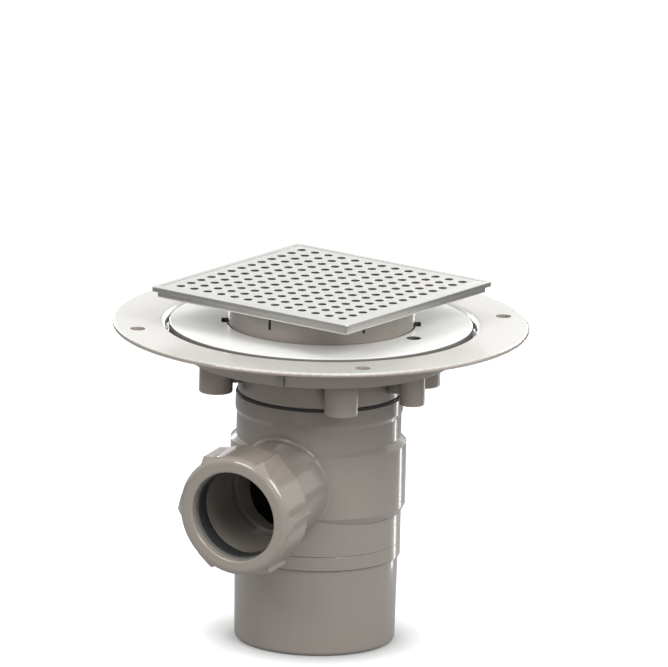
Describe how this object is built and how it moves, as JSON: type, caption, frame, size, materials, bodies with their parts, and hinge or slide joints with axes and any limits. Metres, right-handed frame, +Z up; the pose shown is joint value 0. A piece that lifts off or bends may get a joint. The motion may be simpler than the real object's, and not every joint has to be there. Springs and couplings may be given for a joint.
{
  "type": "gully trap",
  "caption": "Trapped floor gully: round flange with clamp ring, dip tube water seal, side compression outlet, and a square perforated grate in a tray that turns and lifts.",
  "frame": {"origin": "centre of the trap body's flat foot, on the surface that it stands on", "axes": "+Z up along the body, flange and socket; the outlet leaves towards -Y and falls 4.5 degrees"},
  "size_m": [0.2712, 0.2712, 0.2373],
  "materials": {
    "body_grey": "glossy moulded grey polypropylene",
    "nut_grey": "glossy moulded grey polypropylene",
    "flange_grey": "satin moulded pale grey plastic",
    "ring_white": "satin moulded off-white plastic",
    "insert_grey": "satin moulded grey plastic",
    "keeper_black": "satin moulded black plastic",
    "stainless": "fine brushed stainless steel",
    "screw_steel": "plain stainless steel",
    "brass": "turned brass",
    "rubber": "matte black rubber"
  },
  "bodies": {
    "trap": {"trap_body": "body_grey", "neck_seal": "rubber", "outlet_seal": "rubber"},
    "flange": {"flange_body": "flange_grey", "membrane_gasket": "rubber", "clamp_ring": "ring_white", "clamp_screws": "screw_steel", "screw_inserts": "brass", "dip_tube": "insert_grey", "dip_tube_seal": "rubber"},
    "spigot": {"spigot": "body_grey", "tray_keeper": "keeper_black"},
    "tray": {"frame_tray": "stainless", "grate": "stainless"},
    "slip_ring": {"slip_ring": "insert_grey"},
    "nut": {"compression_nut": "nut_grey"}
  },
  "joints": [
    {"name": "flange_turn", "type": "hinge", "parent": "trap", "child": "flange", "pos_m": [0, 0, 0.165], "axis": [0, 0, 1], "continuous": true},
    {"name": "spigot_lift", "type": "slide", "parent": "flange", "child": "spigot", "axis": [0, 0, 1], "range_m": [0, 0.0113]},
    {"name": "tray_turn", "type": "hinge", "parent": "spigot", "child": "tray", "pos_m": [0, 0, 0.228], "axis": [0, 0, 1], "continuous": true},
    {"name": "nut_travel", "type": "slide", "parent": "trap", "child": "slip_ring", "axis": [0, -0.9969, -0.0785], "range_m": [0, 0.00801]},
    {"name": "nut_turn", "type": "hinge", "parent": "slip_ring", "child": "nut", "pos_m": [0, -0.10268, 0.10692], "axis": [0, -0.9969, -0.0785], "range_deg": [0, 720]}
  ],
  "couplings": [
    {"joint": "nut_travel", "follows": "nut_turn", "m_per_rad": 0.00063662}
  ]
}
